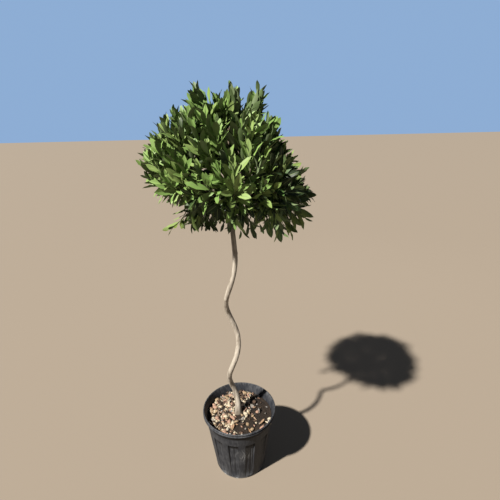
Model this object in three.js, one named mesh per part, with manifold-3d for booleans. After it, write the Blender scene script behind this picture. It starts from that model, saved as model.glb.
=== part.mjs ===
// A bay tree trained as a ball on a corkscrew stem, standing in a round nursery pot.
// Millimetres, +Z up, with the origin at the centre of the pot's flat underside.
// +X is to the right and -Y towards the viewer, as the plant is usually shown.
import * as THREE from "three";
import { mergeVertices } from "three/addons/utils/BufferGeometryUtils.js";
import Module from "manifold-3d";

const wasm = await Module();
wasm.setup();

// The clearance that touching pieces keep from each other.
const gap = 0.3;

// Slivers finer than this are left out of a mass where its leaves and twigs are joined.
const sliver = 0.02;

const pot = {
  height: 285,
  rimRadius: 156,
  rimDrop: 16, // height of the turned-down rim
  rimRound: 3,
  rimSlope: 1, // height over which the rim's underside slopes in to the wall
  neckRadius: 146, // wall just under the rim
  footRadius: 110,
  footRound: 4,
  wall: 3.2,
  floor: 4,
  sides: 72,
  panels: 12, // shallow panels pressed into the wall
  panelShare: 0.55, // of each panel's pitch that is pressed in
  panelTurn: 2.4, // degrees that the rib between two panels stands to the right of the front
  panelDepth: 2.6,
  panelFrom: 22, // height where the panels begin
  panelTo: 208, // height where they end, under a plain band
  panelSlope: 3, // height over which their ends slope out
};

const soil = {
  level: 254, // the surface round the stem
  edgeDrop: 9, // how far the surface falls towards the wall
  flatRadius: 46, // level patch that the stem stands on
  sides: 28,
  unevenness: 2.5,
  waves: [3, 7], // waves of the surface in one turn round the stem
};

const stem = {
  axis: [-14.5, 0], // the upright line that the stem winds round
  coilRadius: 21.5,
  footCoilRadius: 9,
  neckCoilRadius: 15.5,
  turn: 340, // height of one full turn
  leftAt: 437, // a height where the stem is at its leftmost
  coilTop: 947, // winding stops here, at the right of its axis
  easing: 38, // height over which it stops
  coilFrom: 400, // the coil has its full radius above this
  coilTo: 960, // and narrows to its neck radius above this
  neckFrom: 1080,
  sunk: 12, // how far the uncut stem reaches into the soil
  footRadius: 10.8,
  neckRadius: 8.8,
  forkRadius: 7.4,
  tipRadius: 3.6,
  flare: 5, // extra radius of the root flare at the soil
  flareHeight: 34,
  sides: 9,
  steps: 48,
};

// Bearings are in degrees from +X towards +Y, and elevations in degrees above level.
const crown = {
  centre: new THREE.Vector3(-1, 0, 1288),
  hollow: 80, // the boughs' room in the middle, which no mass enters
  siteShare: 0.48, // where a mass's own centre lies, as a share of its reach
  coreShare: 0.6, // where the dense cores end, as a share of the crown's reach
  coreDetail: 3,
  stemRoom: 24, // kept free round the stem under the crown
  margin: 1.2, // between a mass and the sides of its space
};

// How far the outermost leaves stand from the crown's centre. Each ring's reaches
// go round it in equal steps from the right, through the back.
const outline = {
  top: 226,
  under: 196,
  rings: [
    { elevation: 38, reaches: [210, 232, 266, 284, 266, 232] },
    { elevation: 4, reaches: [226, 252, 280, 296, 280, 252] },
    { elevation: -32, reaches: [326, 300, 262, 238, 222, 300] },
    { elevation: -62, reaches: [290, 266, 228, 206, 198, 266] },
  ],
  blend: 13, // how sharply one reach gives way to the next
};

const masses = [
  { name: "mass_top", bearing: 0, elevation: 90 },
  { name: "mass_right_back", bearing: 30, elevation: -18 },
  { name: "mass_back", bearing: 90, elevation: -18 },
  { name: "mass_left_back", bearing: 150, elevation: -18 },
  { name: "mass_left_front", bearing: 210, elevation: -18 },
  { name: "mass_front", bearing: 270, elevation: -18 },
  { name: "mass_right_front", bearing: 330, elevation: -18 },
];

// Single shoots that stand out beyond the rest.
const sprays = [
  { bearing: 200, elevation: 70, reach: 302 },
  { bearing: 350, elevation: 86, reach: 274 },
  { bearing: 350, elevation: 68, reach: 286 },
  { bearing: 190, elevation: 50, reach: 280 },
  { bearing: 176, elevation: 14, reach: 300 },
  { bearing: 168, elevation: -38, reach: 330 },
  { bearing: 14, elevation: -46, reach: 346 },
  { bearing: 346, elevation: -35, reach: 336 },
];

// The stem ends where the top mass begins.
const stemTip = crown.centre.z + crown.hollow - gap;

const bough = {
  order: [0, 3, 1, 4, 2, 5], // how high the side masses' boughs leave the stem, lowest first
  lowest: 1116, // height where the first bough leaves the stem
  spacing: 17, // height from one bough to the next
  baseRadius: 5.6,
  tipRadius: 3.8,
  rise: 34, // how far it climbs before it bends out
  riseShare: 0.2, // and how far out it is by then, as a share of its run
  aimLength: 34, // straight stretch that points at its mass
  sides: 7,
  steps: 6,
};

const twig = {
  count: 116,
  radius: 3,
  tipRadius: 2.2,
  scatter: 0.08, // how far a shoot's direction strays
  unevenness: 12, // how far its reach does
};

// A leaf stands for several of the real ones, so it is larger than life.
const leaf = {
  perTwig: 5,
  attempts: 8,
  least: 0.9, // the range of sizes, as shares of the length and width below
  most: 1.15,
  shrink: 0.04,
  length: 86,
  width: 36,
  thickness: 1.4,
  widestAt: 0.58,
  thickestAt: 0.3,
  fold: 0.14, // how far the blade's edges rise, as a share of its width
  bend: 0.08, // how far its tip hangs, as a share of its length
  room: 70, // how far the outermost leaf stands beyond its twig
  stretch: 56, // how far down the twig the leaves are set
  tipSplay: 0.45, // radians between the shoot and its outermost leaf
  innerSplay: 1.25, // and between it and the innermost
  rootDepth: 1.2,
  turn: THREE.MathUtils.degToRad(137.5),
};

const colours = {
  pot: { color: 0x3a3b3c, roughness: 0.55, metalness: 0 },
  soil: { color: 0x4a3626, roughness: 1, metalness: 0 },
  bark: { color: 0xb9ab93, roughness: 0.85, metalness: 0 },
  leaves: { color: 0x4c6631, roughness: 0.45, metalness: 0 },
};

// A repeatable source of numbers from 0 to 1.
function seeded(seed) {
  let state = seed;
  return () => {
    state = (state * 1664525 + 1013904223) % 4294967296;
    return state / 4294967296;
  };
}

// A closed three.js geometry as a solid that can be joined and cut.
function solidOf(geometry) {
  const bare = new THREE.BufferGeometry();
  bare.setAttribute("position", geometry.attributes.position);
  bare.setIndex(geometry.index);
  const merged = mergeVertices(bare, 1e-3);
  return new wasm.Manifold(
    new wasm.Mesh({
      numProp: 3,
      vertProperties: new Float32Array(merged.attributes.position.array),
      triVerts: new Uint32Array(merged.index.array),
    }),
  );
}

function geometryOf(solid) {
  const made = solid.getMesh();
  const geometry = new THREE.BufferGeometry();
  geometry.setAttribute(
    "position",
    new THREE.BufferAttribute(made.vertProperties, 3),
  );
  geometry.setIndex(new THREE.BufferAttribute(made.triVerts, 1));
  geometry.computeVertexNormals();
  return geometry;
}

// The largest body of a solid, without any loose scrap.
function largestBody(solid) {
  const bodies = solid.decompose();
  bodies.sort((a, b) => b.volume() - a.volume());
  return bodies[0];
}

function meshOf(name, geometry, finish) {
  const mesh = new THREE.Mesh(geometry, new THREE.MeshStandardMaterial(finish));
  mesh.name = name;
  return mesh;
}

// A profile of [radius, height] pairs turned round the vertical axis.
function turned(profile, sides) {
  const points = profile.map(([radius, height]) => new THREE.Vector2(radius, height));
  return new THREE.LatheGeometry(points, sides).rotateX(Math.PI / 2);
}

// How far the outer wall is pressed in at a bearing and height.
function panelPress(bearing, height) {
  if (height < pot.panelFrom || height > pot.panelTo) return 0;
  const pitch = (2 * Math.PI) / pot.panels;
  const across = Math.abs((((bearing % pitch) + pitch) % pitch) - pitch / 2) / pitch;
  return across < pot.panelShare / 2 ? pot.panelDepth : 0;
}

const neckHeight = pot.height - pot.rimDrop;

function potWallRadius(height) {
  return THREE.MathUtils.lerp(pot.footRadius, pot.neckRadius, height / neckHeight);
}

function makePot() {
  const wallRow = (height) => [potWallRadius(height), height];
  const mouth = pot.rimRadius - 2 * pot.wall;
  const profile = [
    [0, 0],
    [pot.footRadius - pot.footRound, 0],
    [pot.footRadius, pot.footRound],
    wallRow(pot.panelFrom - pot.panelSlope),
    wallRow(pot.panelFrom),
    wallRow(pot.panelTo),
    wallRow(pot.panelTo + pot.panelSlope),
    wallRow(neckHeight),
    [pot.rimRadius, neckHeight + pot.rimSlope],
    [pot.rimRadius, pot.height - pot.rimRound],
    [pot.rimRadius - pot.rimRound, pot.height],
    [mouth, pot.height - pot.rimRound / 2],
    [pot.neckRadius - pot.wall, neckHeight - pot.rimSlope],
    [pot.footRadius - pot.wall, pot.floor],
    [0, pot.floor],
  ];
  const geometry = turned(profile, pot.sides);
  const place = geometry.attributes.position;
  for (let i = 0; i < place.count; i++) {
    const [x, y, z] = [place.getX(i), place.getY(i), place.getZ(i)];
    const radius = Math.hypot(x, y);
    if (radius < potWallRadius(z) - pot.wall / 2) continue; // an inner row
    const share = 1 - panelPress(Math.atan2(y, x), z) / radius;
    place.setXY(i, x * share, y * share);
  }
  geometry.rotateZ(THREE.MathUtils.degToRad(pot.panelTurn));
  return meshOf("pot", geometry, colours.pot);
}

function makeSoil() {
  // The pot's inner wall at a height, less room for its flat sides.
  const inside = (height) => {
    const share = (height - pot.floor) / (neckHeight - pot.rimSlope - pot.floor);
    return THREE.MathUtils.lerp(pot.footRadius, pot.neckRadius, share) - pot.wall - 2 * gap;
  };
  const edge = soil.level - soil.edgeDrop;
  const between = (inside(edge) + soil.flatRadius) / 2;
  const profile = [
    [0, pot.floor + gap],
    [inside(pot.floor + gap), pot.floor + gap],
    [inside(edge), edge],
    [between, soil.level - soil.edgeDrop / 3],
    [soil.flatRadius, soil.level],
    [0, soil.level],
  ];
  const geometry = turned(profile, soil.sides);
  const place = geometry.attributes.position;
  for (let i = 0; i < place.count; i++) {
    const [x, y, z] = [place.getX(i), place.getY(i), place.getZ(i)];
    const radius = Math.hypot(x, y);
    if (z < edge - 1 || radius < soil.flatRadius + 1) continue;
    const bearing = Math.atan2(y, x);
    const [broad, fine] = soil.waves;
    const wave = Math.sin(broad * bearing + radius) + Math.sin(fine * bearing - radius);
    place.setZ(i, z + (soil.unevenness * wave) / 2);
  }
  return meshOf("soil", geometry, colours.soil);
}

// The middle of the stem at a height.
function stemCentre(z) {
  const eased = Math.log1p(Math.exp((stem.coilTop - z) / stem.easing)) * stem.easing;
  const turns = (stem.coilTop - eased - stem.leftAt) / stem.turn;
  const bearing = Math.PI + 2 * Math.PI * turns;
  const growing = THREE.MathUtils.smoothstep(z, soil.level, stem.coilFrom);
  const fading = THREE.MathUtils.smoothstep(z, stem.coilTo, stem.neckFrom);
  let radius = THREE.MathUtils.lerp(stem.footCoilRadius, stem.coilRadius, growing);
  radius = THREE.MathUtils.lerp(radius, stem.neckCoilRadius, fading);
  return new THREE.Vector3(
    stem.axis[0] + radius * Math.cos(bearing),
    stem.axis[1] + radius * Math.sin(bearing),
    z,
  );
}

function stemRadius(z) {
  const above = z - soil.level;
  const flare = stem.flare * Math.exp(-Math.max(above, 0) / stem.flareHeight);
  if (z < bough.lowest) {
    const share = above / (bough.lowest - soil.level);
    return THREE.MathUtils.lerp(stem.footRadius, stem.neckRadius, share) + flare;
  }
  const share = (z - bough.lowest) / (stemTip - bough.lowest);
  return THREE.MathUtils.lerp(stem.forkRadius, stem.tipRadius, share);
}

// A tapering limb: a closed cylinder whose rings are laid square across a curve.
function limb(curve, radiusAt, sides, steps) {
  const tube = new THREE.CylinderGeometry(1, 1, 1, sides, steps);
  const frames = curve.computeFrenetFrames(steps, false);
  const rings = Array.from({ length: steps + 1 }, (_, k) => curve.getPointAt(k / steps));
  const place = tube.attributes.position;
  for (let i = 0; i < place.count; i++) {
    const ring = Math.round((place.getY(i) + 0.5) * steps);
    const radius = radiusAt(rings[ring], ring / steps);
    const point = rings[ring]
      .clone()
      .addScaledVector(frames.binormals[ring], place.getX(i) * radius)
      .addScaledVector(frames.normals[ring], place.getZ(i) * radius);
    place.setXYZ(i, point.x, point.y, point.z);
  }
  return tube;
}

// The stem's limb, drawn thicker by a clearance where other limbs are cut to fit it.
function stemLimb(clearance) {
  const heights = Array.from({ length: stem.steps + 1 }, (_, k) =>
    THREE.MathUtils.lerp(soil.level - stem.sunk, stemTip, k / stem.steps),
  );
  const curve = new THREE.CatmullRomCurve3(heights.map(stemCentre));
  return limb(curve, (point) => stemRadius(point.z) + clearance, stem.sides, stem.steps);
}

// The stem is cut flat where it stands on the soil.
function makeStem() {
  const solid = solidOf(stemLimb(0)).trimByPlane([0, 0, 1], soil.level + gap);
  return meshOf("trunk", geometryOf(solid), colours.bark);
}

function direction(bearing, elevation) {
  const [a, e] = [bearing, elevation].map(THREE.MathUtils.degToRad);
  return new THREE.Vector3(Math.cos(a) * Math.cos(e), Math.sin(a) * Math.cos(e), Math.sin(e));
}

const lobes = [
  [direction(0, 90), outline.top],
  [direction(0, -90), outline.under],
  ...outline.rings.flatMap(({ elevation, reaches }) =>
    reaches.map((reach, k) => [direction((360 * k) / reaches.length, elevation), reach]),
  ),
];

// How far the crown reaches in a direction: a blend of the nearest lobes' reaches.
function reachAlong(way) {
  let [total, weights] = [0, 0];
  for (const [lobe, reach] of lobes) {
    const weight = Math.exp(outline.blend * (lobe.dot(way) - 1));
    total += weight * reach;
    weights += weight;
  }
  return total / weights;
}

// The middle of a mass's own space.
function siteOf(mass) {
  const out = direction(mass.bearing, mass.elevation);
  return out.multiplyScalar(crown.siteShare * reachAlong(out)).add(crown.centre);
}

const isTop = (mass) => mass.elevation === 90;

// The flat sides of a mass's space, each {normal, limit}: a point is inside while
// normal . point < limit. The top mass grows up between the inner sides of the rest.
function spaceOf(mass) {
  const site = siteOf(mass);
  const out = direction(mass.bearing, mass.elevation);
  const bound = (normal, point, room) => ({ normal, limit: normal.dot(point) - room });
  const space = [bound(out.clone().negate(), crown.centre, crown.hollow)];
  for (const other of masses) {
    if (other === mass || isTop(other)) continue;
    const normal = direction(other.bearing, other.elevation);
    if (isTop(mass)) {
      space.push(bound(normal, crown.centre, 2 * crown.margin - crown.hollow));
      continue;
    }
    const between = siteOf(other).sub(site);
    const middle = siteOf(other).add(site).multiplyScalar(0.5);
    space.push(bound(between.normalize(), middle, crown.margin));
  }
  if (!isTop(mass)) {
    const inwards = new THREE.Vector3(-out.x, -out.y, 0).normalize();
    space.push(bound(inwards, crown.centre, crown.stemRoom));
  }
  return space;
}

const isInside = (point, space) => space.every((side) => side.normal.dot(point) < side.limit);

// Boughs climb out of the stem one above another, and end where their mass begins.
function boughEnds() {
  const side = masses.filter((mass) => !isTop(mass));
  return side.map((mass, k) => {
    const out = direction(mass.bearing, mass.elevation);
    const from = stemCentre(bough.lowest + bough.spacing * bough.order[k]);
    const to = out.clone().multiplyScalar(crown.hollow - gap).add(crown.centre);
    return { mass, from, to, out };
  });
}

function makeBoughs() {
  const stemRoom = solidOf(stemLimb(gap));
  return boughEnds().map(({ mass, from, to, out }) => {
    const rise = from.clone().lerp(to, bough.riseShare);
    rise.z = from.z + bough.rise;
    const aim = to.clone().addScaledVector(out, -bough.aimLength);
    const curve = new THREE.CubicBezierCurve3(from, rise, aim, to);
    const taper = (_, share) => THREE.MathUtils.lerp(bough.baseRadius, bough.tipRadius, share);
    const solid = solidOf(limb(curve, taper, bough.sides, bough.steps)).subtract(stemRoom);
    const name = mass.name.replace("mass", "bough");
    return meshOf(name, geometryOf(largestBody(solid)), colours.bark);
  });
}

// A mass's dense core: a ball round the crown's centre, cut down to the mass's space.
function coreOf(space) {
  const ball = new THREE.IcosahedronGeometry(1, crown.coreDetail);
  const place = ball.attributes.position;
  for (let i = 0; i < place.count; i++) {
    const way = new THREE.Vector3().fromBufferAttribute(place, i).normalize();
    const point = way.clone().multiplyScalar(crown.coreShare * reachAlong(way)).add(crown.centre);
    place.setXYZ(i, point.x, point.y, point.z);
  }
  return space.reduce(
    (core, { normal, limit }) => core.trimByPlane(normal.clone().negate().toArray(), -limit),
    solidOf(ball),
  );
}

// A blade of eight faces, folded along its midrib and hanging a little at its tip.
// It lies along +Y from the origin, with its upper side towards +Z.
function leafBlade(length, width) {
  const blade = new THREE.OctahedronGeometry(1, 0);
  const place = blade.attributes.position;
  for (let i = 0; i < place.count; i++) {
    const [side, along, up] = [place.getX(i), place.getY(i), place.getZ(i)];
    let [y, z] = [leaf.thickestAt * length, (up * leaf.thickness) / 2];
    if (side !== 0) [y, z] = [leaf.widestAt * length, leaf.fold * width];
    if (along < 0) y = 0;
    if (along > 0) [y, z] = [length, -leaf.bend * length];
    place.setXYZ(i, (side * width) / 2, y, z);
  }
  return blade;
}

// Directions spread evenly over a sphere.
function evenDirection(k, count) {
  const height = 1 - (2 * k + 1) / count;
  const across = Math.sqrt(1 - height * height);
  const bearing = k * Math.PI * (3 - Math.sqrt(5));
  return new THREE.Vector3(across * Math.cos(bearing), across * Math.sin(bearing), height);
}

// The points that the crown's outermost leaves reach, one for each shoot.
function shootTips() {
  const random = seeded(5);
  const uneven = (amount) => amount * (2 * random() - 1);
  const even = Array.from({ length: twig.count }, (_, k) => {
    const way = evenDirection(k, twig.count);
    way.add(new THREE.Vector3(uneven(twig.scatter), uneven(twig.scatter), uneven(twig.scatter)));
    way.normalize();
    return way.multiplyScalar(reachAlong(way) + uneven(twig.unevenness));
  });
  const standingOut = sprays.map((s) => direction(s.bearing, s.elevation).multiplyScalar(s.reach));
  return [...standingOut, ...even].map((tip) => tip.add(crown.centre));
}

// A leaf in its place on a shoot. back is 0 at the shoot's end and 1 furthest in.
function leafOn(shoot, back, spin, size) {
  const upright = new THREE.Vector3(1, 0, 0);
  if (Math.abs(shoot.aim.z) < 0.9) upright.set(0, 0, 1);
  const side = new THREE.Vector3().crossVectors(upright, shoot.aim).normalize();
  side.applyAxisAngle(shoot.aim, spin);
  const splay = THREE.MathUtils.lerp(leaf.tipSplay, leaf.innerSplay, back);
  const [cos, sin] = [Math.cos(splay), Math.sin(splay)];
  const along = shoot.aim.clone().multiplyScalar(cos).addScaledVector(side, sin);
  const upper = shoot.aim.clone().multiplyScalar(sin).addScaledVector(side, -cos);
  const across = new THREE.Vector3().crossVectors(along, upper);
  const root = shoot.end.clone().addScaledVector(shoot.aim, -back * leaf.stretch - leaf.rootDepth);
  root.addScaledVector(along, -leaf.rootDepth);
  const blade = leafBlade(size * leaf.length, size * leaf.width);
  blade.applyMatrix4(new THREE.Matrix4().makeBasis(across, along, upper).setPosition(root));
  return blade;
}

function fitsIn(geometry, space) {
  const place = geometry.attributes.position;
  const corner = new THREE.Vector3();
  for (let i = 0; i < place.count; i++) {
    if (!isInside(corner.fromBufferAttribute(place, i), space)) return false;
  }
  return true;
}

function boxOf(solid) {
  const { min, max } = solid.boundingBox();
  return new THREE.Box3(new THREE.Vector3(...min), new THREE.Vector3(...max));
}

function meets(piece, other) {
  return piece.box.intersectsBox(other.box) && !piece.solid.intersect(other.solid).isEmpty();
}

// The leaves of one shoot. Each turns round the shoot, and shrinks a little each time,
// until it fits between what is there already.
function leavesOf(shoot, space, obstacles, random) {
  const leaves = [];
  let spin = 2 * Math.PI * random();
  for (let n = 0; n < leaf.perTwig; n++) {
    const full = THREE.MathUtils.lerp(leaf.least, leaf.most, random());
    for (let attempt = 0; attempt < leaf.attempts; attempt++) {
      spin += leaf.turn;
      const size = full - attempt * leaf.shrink;
      const blade = leafOn(shoot, n / (leaf.perTwig - 1), spin, size);
      if (!fitsIn(blade, space)) continue;
      const solid = solidOf(blade);
      const piece = { solid, box: boxOf(solid) };
      if ([...obstacles, ...leaves].some((other) => meets(piece, other))) continue;
      leaves.push(piece);
      break;
    }
  }
  return leaves;
}

// One mass: its stem, its core, and the twigs and leaves that stand out of the core.
// Every twig grows from the end of the mass's stem, and ends short of its shoot's tip.
function makeMass(mass, tips) {
  const space = spaceOf(mass);
  const site = siteOf(mass);
  const out = direction(mass.bearing, mass.elevation);
  const core = coreOf(space);
  const foot = out.clone().multiplyScalar(crown.hollow + gap).add(crown.centre);
  const stalk = solidOf(limb(new THREE.LineCurve3(foot, site), () => bough.tipRadius, bough.sides, 1));
  const taper = (_, share) => THREE.MathUtils.lerp(twig.radius, twig.tipRadius, share);
  const twigs = tips.map((tip) => {
    const aim = tip.clone().sub(site).normalize();
    const end = tip.clone().addScaledVector(aim, -leaf.room);
    const solid = solidOf(limb(new THREE.LineCurve3(site, end), taper, 3, 1));
    return { aim, end, solid, box: boxOf(solid) };
  });
  const random = seeded(29 + masses.indexOf(mass));
  const placed = [{ solid: core, box: boxOf(core) }];
  for (const shoot of twigs) {
    const obstacles = [...placed, ...twigs.filter((other) => other !== shoot)];
    placed.push(...leavesOf(shoot, space, obstacles, random));
  }
  const pieces = [stalk, ...[...placed, ...twigs].map((piece) => piece.solid)];
  const solid = largestBody(wasm.Manifold.union(pieces)).simplify(sliver);
  return meshOf(mass.name, geometryOf(solid), colours.leaves);
}

function makeCrown() {
  const tips = shootTips();
  return masses.map((mass) => {
    const space = spaceOf(mass);
    return makeMass(mass, tips.filter((tip) => isInside(tip, space)));
  });
}

const tree = new THREE.Group();
tree.add(makePot(), makeSoil(), makeStem(), ...makeBoughs(), ...makeCrown());

export default tree;
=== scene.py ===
# A potted bay, trained as a ball on a corkscrew stem. Metres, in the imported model's frame.
import math

import bmesh
import bpy
import numpy as np
from mathutils import Matrix, Quaternion, Vector, noise


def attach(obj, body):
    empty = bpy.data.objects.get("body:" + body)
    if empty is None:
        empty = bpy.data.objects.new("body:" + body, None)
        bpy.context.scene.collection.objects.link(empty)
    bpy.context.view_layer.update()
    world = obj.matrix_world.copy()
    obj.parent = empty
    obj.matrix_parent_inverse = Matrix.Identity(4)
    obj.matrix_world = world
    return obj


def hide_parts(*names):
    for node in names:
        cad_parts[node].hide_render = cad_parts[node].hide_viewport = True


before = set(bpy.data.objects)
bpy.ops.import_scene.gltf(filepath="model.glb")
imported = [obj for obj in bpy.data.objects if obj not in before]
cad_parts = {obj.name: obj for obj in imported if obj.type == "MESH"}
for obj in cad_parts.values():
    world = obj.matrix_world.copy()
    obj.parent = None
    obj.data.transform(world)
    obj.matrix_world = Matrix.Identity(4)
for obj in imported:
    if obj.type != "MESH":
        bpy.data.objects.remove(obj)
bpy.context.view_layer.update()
print("frame:", len(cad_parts), "nodes")

up = Vector((0, 0, 1))


def seeded(seed):  # repeatable numbers from 0 to 1, the same as the model's own
    state = seed

    def draw():
        nonlocal state
        state = (state * 1664525 + 1013904223) % 4294967296
        return state / 4294967296

    return draw


def lerp(low, high, share):
    return low + (high - low) * share


def smooth(value, low, high):  # from 0 at low to 1 at high
    share = min(max((value - low) / (high - low), 0), 1)
    return share * share * (3 - 2 * share)


def astray(random, amount):  # up to this amount on either side of 0
    return amount * (2 * random() - 1)


def pick(random, items):
    return items[int(len(items) * random())]


def heading(bearing, elevation):  # degrees from +X towards +Y, and above level
    a, e = math.radians(bearing), math.radians(elevation)
    return Vector((math.cos(a) * math.cos(e), math.sin(a) * math.cos(e), math.sin(e)))


def addObject(name, data):
    added = bpy.data.objects.new(name, data)
    bpy.context.scene.collection.objects.link(added)
    return added


def addPiece(name, mesh, finishes, slot, *nodes):
    for finish in finishes:
        mesh.materials.append(finish.material)
    piece = addObject(name, mesh)
    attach(piece, "root")
    if nodes:
        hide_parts(*nodes)


def meshOf(name, bm, sharpFrom=40):  # edges that turn by more than sharpFrom degrees stay crisp
    mesh = bpy.data.meshes.new(name)
    bm.to_mesh(mesh)
    bm.free()
    mesh.shade_smooth()
    mesh.set_sharp_from_angle(angle=math.radians(sharpFrom))
    return mesh


# Shader maths is written as Python expressions on these.
class Signal:
    def __init__(self, nodes, socket):
        self.nodes = nodes
        self.socket = socket

    def __add__(self, other):
        return self.nodes.maths("ADD", self, other)

    def __sub__(self, other):
        return self.nodes.maths("SUBTRACT", self, other)

    def __rsub__(self, other):
        return self.nodes.maths("SUBTRACT", other, self)

    def __mul__(self, other):
        return self.nodes.maths("MULTIPLY", self, other)

    __radd__ = __add__
    __rmul__ = __mul__


class Nodes:  # those of a material or of the sky
    def __init__(self, owner):
        owner.use_nodes = True
        self.tree = owner.node_tree

    def feed(self, node, sockets):
        for name, value in sockets.items():
            if isinstance(value, Signal):
                self.tree.links.new(value.socket, node.inputs[name])
            else:
                node.inputs[name].default_value = value

    def node(self, kind, settings, sockets, output=0):
        made = self.tree.nodes.new(kind)
        for name, value in settings.items():
            setattr(made, name, value)
        self.feed(made, sockets)
        return Signal(self, made.outputs[output])

    def maths(self, operation, first, second):
        return self.node("ShaderNodeMath", {"operation": operation}, {0: first, 1: second})


class Finish(Nodes):  # a material, made round its Principled shader
    def __init__(self, name, plain):
        self.material = bpy.data.materials.new(name)
        super().__init__(self.material)
        self.shader = self.tree.nodes["Principled BSDF"]
        self.feed(self.shader, plain)

    def where(self, stretch=(1, 1, 1)):
        place = self.node("ShaderNodeTexCoord", {}, {}, "Object")
        return self.node("ShaderNodeMapping", {}, {"Vector": place, "Scale": stretch})

    def along(self, axis):
        return self.node("ShaderNodeSeparateXYZ", {}, {"Vector": self.where()}, axis)

    def fromAxis(self):  # distance from the upright axis
        ask = {"operation": "LENGTH"}
        return self.node("ShaderNodeVectorMath", ask, {0: self.where((1, 1, 0))}, "Value")

    def turns(self):  # round the upright axis, from -0.5 to 0.5
        return self.maths("ARCTAN2", self.along("Y"), self.along("X")) * (0.5 / math.pi)

    def clouds(self, size, stretch=(1, 1, 1), detail=3):  # size is that of one blotch
        sockets = {"Vector": self.where(stretch), "Scale": 1 / size, "Detail": detail}
        return self.node("ShaderNodeTexNoise", {}, sockets, "Fac")

    def cells(self, size, stretch=(1, 1, 1)):  # distance from the nearest of scattered points
        sockets = {"Vector": self.where(stretch), "Scale": 1 / size}
        return self.node("ShaderNodeTexVoronoi", {}, sockets, "Distance")

    def ramp(self, signal, low, high):  # from 0 at low to 1 at high
        sockets = {"Value": signal, "From Min": low, "From Max": high}
        return self.node("ShaderNodeMapRange", {"interpolation_type": "SMOOTHSTEP"}, sockets)

    def near(self, place, reach):  # 1 at a place, fading to 0 at its reach
        ask = {"operation": "DISTANCE"}
        away = self.node("ShaderNodeVectorMath", ask, {0: self.where(), 1: place}, "Value")
        return self.ramp(away, reach, 0)

    def mix(self, first, second, share):  # 6 and 7 are the Mix node's two colours
        sockets = {0: share, 6: (*first, 1) if isinstance(first, tuple) else first}
        sockets[7] = (*second, 1) if isinstance(second, tuple) else second
        return self.node("ShaderNodeMix", {"data_type": "RGBA"}, sockets, 2)

    def wear(self, colour, roughness, relief, depth):
        bump = self.node("ShaderNodeBump", {}, {"Height": relief, "Distance": depth})
        self.feed(self.shader, {"Base Color": colour, "Roughness": roughness, "Normal": bump})
        return self


def plainFinish(name, colour, roughness, gloss=0.5):
    looks = {"Base Color": (*colour, 1), "Roughness": roughness, "Specular IOR Level": gloss}
    return Finish(name, looks)


# Camera, light and floor
view = {
    "eye": (0, -1.223, 1.403),
    "right": 2.9,  # degrees that it looks to the right of straight on
    "down": 18.4,
    "roll": 1.3,
    "focal": 349,  # in pixels of a picture this wide:
    "width": 500,
}


def addCamera():
    data = bpy.data.cameras.new("camera")
    data.lens = data.sensor_width * view["focal"] / view["width"]
    camera = addObject("camera", data)
    camera.location = view["eye"]
    look = heading(90 - view["right"], -view["down"]).to_track_quat("-Z", "Y")
    camera.rotation_mode = "QUATERNION"
    camera.rotation_quaternion = look @ Quaternion((0, 0, 1), math.radians(-view["roll"]))
    bpy.context.scene.camera = camera


studio = {
    "sun": {
        "from": (-0.525, -0.39, 0.756),
        "strength": 10.6,
        "angle": 2.2,  # degrees across
        "tint": (1, 0.955, 0.88),
    },
    "fill": {"at": (2.6, -2.2, 1.8), "size": 2.4, "power": 3, "tint": (0.88, 0.94, 1)},
    "rim": {"at": (1.2, 2.6, 2.6), "size": 1.6, "power": 8, "tint": (1, 1, 1)},
    "target": (0, 0, 0.9),
    "sky": (0.58, 0.72, 0.95),
    "skyStrength": 0.12,
    "backdrop": (0.27, 0.42, 0.66),
    "floor": (0.182, 0.150, 0.116),
    "floorSize": 300,
}


def addSun():
    data = bpy.data.lights.new("sun", "SUN")
    data.energy = studio["sun"]["strength"]
    data.angle = math.radians(studio["sun"]["angle"])
    data.color = studio["sun"]["tint"]
    sun = addObject("sun", data)
    sun.rotation_euler = Vector(studio["sun"]["from"]).to_track_quat("Z", "Y").to_euler()


def addLight(name, lamp):
    data = bpy.data.lights.new(name, "AREA")
    data.size = lamp["size"]
    data.energy = lamp["power"]
    data.color = lamp["tint"]
    light = addObject(name, data)
    light.location = lamp["at"]
    towards = Vector(studio["target"]) - light.location
    light.rotation_euler = towards.to_track_quat("-Z", "Y").to_euler()


def addSky():  # it lights the plant dimly, and the camera sees a brighter one
    world = bpy.data.worlds.new("sky")
    sky = Nodes(world)
    sky.tree.nodes.remove(sky.tree.nodes["Background"])
    light = {"Color": (*studio["sky"], 1), "Strength": studio["skyStrength"]}
    dim = sky.node("ShaderNodeBackground", {}, light)
    bright = sky.node("ShaderNodeBackground", {}, {"Color": (*studio["backdrop"], 1)})
    seen = sky.node("ShaderNodeLightPath", {}, {}, "Is Camera Ray")
    both = sky.node("ShaderNodeMixShader", {}, {"Fac": seen, 1: dim, 2: bright})
    sky.feed(sky.tree.nodes["World Output"], {"Surface": both})
    bpy.context.scene.world = world
    bpy.context.scene.view_settings.view_transform = "Standard"


def addFloor():
    bm = bmesh.new()
    bmesh.ops.create_grid(bm, x_segments=1, y_segments=1, size=studio["floorSize"] / 2)
    floor = addObject("floor", meshOf("floor", bm))
    floor.data.materials.append(plainFinish("floor", studio["floor"], 0.9).material)


addCamera()
addSun()
for name in ("fill", "rim"):
    addLight(name, studio[name])
addSky()
addFloor()
print("camera, light and floor")

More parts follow.
